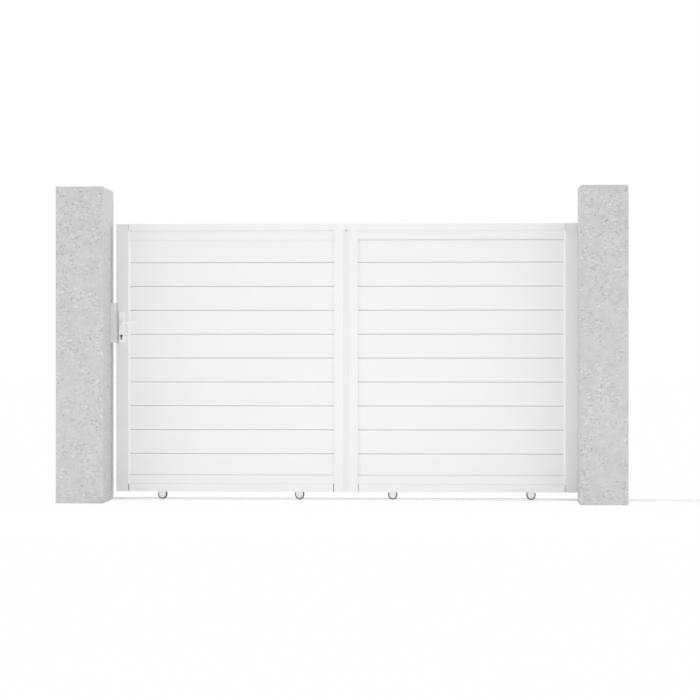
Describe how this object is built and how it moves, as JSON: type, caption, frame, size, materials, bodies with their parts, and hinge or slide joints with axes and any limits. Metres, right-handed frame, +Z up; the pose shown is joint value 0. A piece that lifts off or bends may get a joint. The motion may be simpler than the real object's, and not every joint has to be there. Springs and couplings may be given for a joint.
{
  "type": "sliding driveway gate",
  "caption": "White board-filled aluminium gate leaf that rolls on a ground track between rendered masonry pillars, with lever handle, receiver and top guide.",
  "frame": {"origin": "centre of the closing pillar's foot", "axes": "+X along the wall from the closing pillar towards the parked leaf, +Y from the street to the yard, +Z up"},
  "size_m": [5.9505, 0.453, 2],
  "materials": {
    "leaf_white": "white powder coat, satin",
    "render": "fine light grey roughcast",
    "galvanised_steel": "zinc coated",
    "black_rubber": "matt",
    "cap_plastic": "moulded, satin",
    "nylon": "smooth",
    "wheel_steel": "dark zinc passivated, turned",
    "housing_white": "pale coated steel",
    "stainless": "brushed",
    "brass": "worn brass",
    "handle_white": "white powder coat, smooth"
  },
  "bodies": {
    "posts": {"closing_pillar": "render", "guide_pillar": "render", "track_near": "galvanised_steel", "track_far": "galvanised_steel", "wheel_stop": "galvanised_steel", "stop_buffer": "black_rubber", "receiver": "galvanised_steel", "strike_keeper": "stainless", "closing_buffers": "black_rubber", "guide_bracket": "galvanised_steel", "roller_pins": "galvanised_steel", "guide_rollers": "nylon"},
    "leaf": {"closing_stile": "leaf_white", "middle_stile_left": "leaf_white", "middle_strip": "leaf_white", "middle_stile_right": "leaf_white", "rear_stile": "leaf_white", "wheel_rail_left": "leaf_white", "wheel_rail_right": "leaf_white", "lower_rail_left": "leaf_white", "lower_rail_right": "leaf_white", "upper_rail_left": "leaf_white", "upper_rail_right": "leaf_white", "boards_left": "leaf_white", "boards_right": "leaf_white", "beads": "leaf_white", "guide_rail": "leaf_white", "tail_rail_top": "leaf_white", "tail_rail_bottom": "leaf_white", "tail_upright": "leaf_white", "end_caps": "cap_plastic", "wheel_housing_1": "housing_white", "wheel_housing_2": "housing_white", "wheel_housing_3": "housing_white", "wheel_housing_4": "housing_white", "axles": "galvanised_steel", "lock": "stainless", "lock_cylinder": "brass", "escutcheon_front": "handle_white", "escutcheon_rear": "handle_white"},
    "wheel_body_1": {"wheel_1": "wheel_steel"},
    "wheel_body_2": {"wheel_2": "wheel_steel"},
    "wheel_body_3": {"wheel_3": "wheel_steel"},
    "wheel_body_4": {"wheel_4": "wheel_steel"},
    "handle": {"lever_front": "handle_white", "lever_rear": "handle_white", "spindle": "stainless"}
  },
  "joints": [
    {"name": "leaf_slide", "type": "slide", "parent": "posts", "child": "leaf", "axis": [1, 0, 0], "range_m": [0, 2.8]},
    {"name": "wheel_1_roll", "type": "hinge", "parent": "leaf", "child": "wheel_body_1", "pos_m": [0.4815, 0.145, 0.0373], "axis": [0, 1, 0], "continuous": true},
    {"name": "wheel_2_roll", "type": "hinge", "parent": "leaf", "child": "wheel_body_2", "pos_m": [1.369, 0.145, 0.0373], "axis": [0, 1, 0], "continuous": true},
    {"name": "wheel_3_roll", "type": "hinge", "parent": "leaf", "child": "wheel_body_3", "pos_m": [1.969, 0.145, 0.0373], "axis": [0, 1, 0], "continuous": true},
    {"name": "wheel_4_roll", "type": "hinge", "parent": "leaf", "child": "wheel_body_4", "pos_m": [2.8565, 0.145, 0.0373], "axis": [0, 1, 0], "continuous": true},
    {"name": "handle_turn", "type": "hinge", "parent": "leaf", "child": "handle", "pos_m": [0.218, 0.145, 1.144], "axis": [0, 1, 0], "range_deg": [0, 40], "stiffness_Nm_per_rad": 1, "springref_deg": -20.05}
  ],
  "couplings": [
    {"joint": "wheel_1_roll", "follows": "leaf_slide", "rad_per_m": 45.455},
    {"joint": "wheel_2_roll", "follows": "leaf_slide", "rad_per_m": 45.455},
    {"joint": "wheel_3_roll", "follows": "leaf_slide", "rad_per_m": 45.455},
    {"joint": "wheel_4_roll", "follows": "leaf_slide", "rad_per_m": 45.455}
  ]
}
